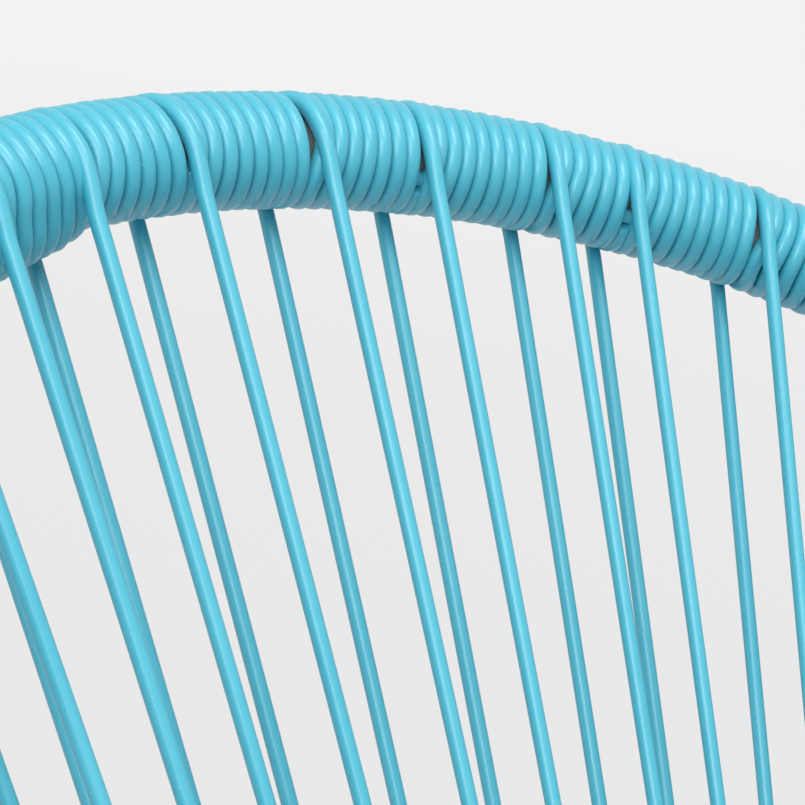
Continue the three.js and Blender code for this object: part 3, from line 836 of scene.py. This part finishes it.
floor_mesh = bpy.data.meshes.new("floor")
floor_mesh.from_pydata([(side * floor_reach, way * floor_reach, 0)
                        for side, way in ((-1, -1), (1, -1), (1, 1), (-1, 1))], [], [(0, 1, 2, 3)])
floor = bpy.data.objects.new("floor", floor_mesh)
bpy.context.scene.collection.objects.link(floor)
sweep, tree, output = new_finish("matt white paper sweep")
# Round the chair the paper's own surface, with the chair's shadow on it, shows more than it
# does far away.
far = add_node(tree, "VectorMath", links={0: add_node(tree, "TexCoord").outputs["Object"]},
               operation="LENGTH")
far = add_node(tree, "MapRange", {"From Min": near_floor, "From Max": far_floor},
               {"Value": far.outputs["Value"]})
glow_share = add_node(tree, "MapRange", {"To Min": 0.79, "To Max": 0.92},
                      {"Value": far.outputs["Result"]})
share = add_node(tree, "Math", operation="MULTIPLY",
                 links={0: rays_that_see_the_set(tree), 1: glow_share.outputs["Result"]})
# Painted light: the paper's glow colour is a little brighter far from the chair than near it.
glow_painted_brighter_far = add_node(tree, "Mix", {6: hex_colour("f5f5f5"), 7: hex_colour("f8f8f8")},
                 {0: far.outputs["Result"]}, data_type="RGBA")
paper = add_node(tree, "BsdfDiffuse", {"Color": hex_colour("e9e9ea")})
glow = add_node(tree, "Emission", {"Strength": 1.0}, {"Color": glow_painted_brighter_far.outputs[2]})
both = add_node(tree, "MixShader",
                links={0: share.outputs[0], 1: paper.outputs[0], 2: glow.outputs[0]})
tree.links.new(both.outputs[0], output.inputs["Surface"])
floor_mesh.materials.append(sweep)

room = bpy.data.worlds.new("pale studio room")
bpy.context.scene.world = room
room.use_nodes = True
tree = room.node_tree
tree.nodes.clear()
ambient = add_node(tree, "Background", {"Color": hex_colour("f4f7fb"), "Strength": 0.385})
backdrop = add_node(tree, "Background", {"Color": hex_colour("f4f4f4"), "Strength": 1.0})
both = add_node(tree, "MixShader", links={
    0: rays_that_see_the_set(tree), 1: ambient.outputs[0], 2: backdrop.outputs[0]})
output = add_node(tree, "OutputWorld")
tree.links.new(both.outputs[0], output.inputs["Surface"])


def stand(thing, right, upward, back, place):
    """Puts a lamp or camera at a place: its matrix has the three directions and the place as
    columns."""
    bpy.context.scene.collection.objects.link(thing)
    rows = np.column_stack([right, upward, back, place]).tolist()
    thing.matrix_world = Matrix(rows + [[0, 0, 0, 1]])


lamps_aim = np.array([0.0, 0.30, 0.80])


def soft_lamp(name, place, width, depth, watts):
    """A flat lamp at a place, turned to aim at the back of the seat."""
    lamp_data = bpy.data.lights.new(name, "AREA")
    lamp_data.shape = "RECTANGLE"
    lamp_data.size, lamp_data.size_y, lamp_data.energy = width, depth, watts
    back = unit(np.array(place) - lamps_aim)
    right = unit(np.cross([0.0, 1.0, 0.001], back))
    stand(bpy.data.objects.new(name, lamp_data), right, np.cross(back, right), back, place)


soft_lamp("broad_overhead_lamp", (-0.15, -0.40, 2.60), 0.8, 1.3, 25.5)
soft_lamp("lamp_by_camera", (-1.19, -0.42, 1.62), 0.9, 0.9, 14.8)

# The camera stands left of the chair, just above the back's top, and looks along the winding.
view_across = math.radians(-49.066)
view_down = math.radians(12.435)
view_roll = math.radians(7.988)
view_place = np.array([-0.51465, -0.09171, 0.99972])
focal_pixels = 2983.6
photo_pixels = 805
back = np.array([math.sin(view_across) * math.cos(view_down),
                 -math.cos(view_across) * math.cos(view_down), math.sin(view_down)])
level = np.array([math.cos(view_across), math.sin(view_across), 0.0])
upright = np.cross(back, level)
right = math.cos(view_roll) * level + math.sin(view_roll) * upright
upward = -math.sin(view_roll) * level + math.cos(view_roll) * upright
camera_data = bpy.data.cameras.new("camera")
camera_data.sensor_width = 36.0
camera_data.lens = focal_pixels / photo_pixels * camera_data.sensor_width
camera_data.clip_start, camera_data.clip_end = 0.02, 200.0
camera = bpy.data.objects.new("camera", camera_data)
stand(camera, right, upward, back, view_place)
bpy.context.scene.camera = camera
bpy.context.scene.view_settings.view_transform = "Standard"
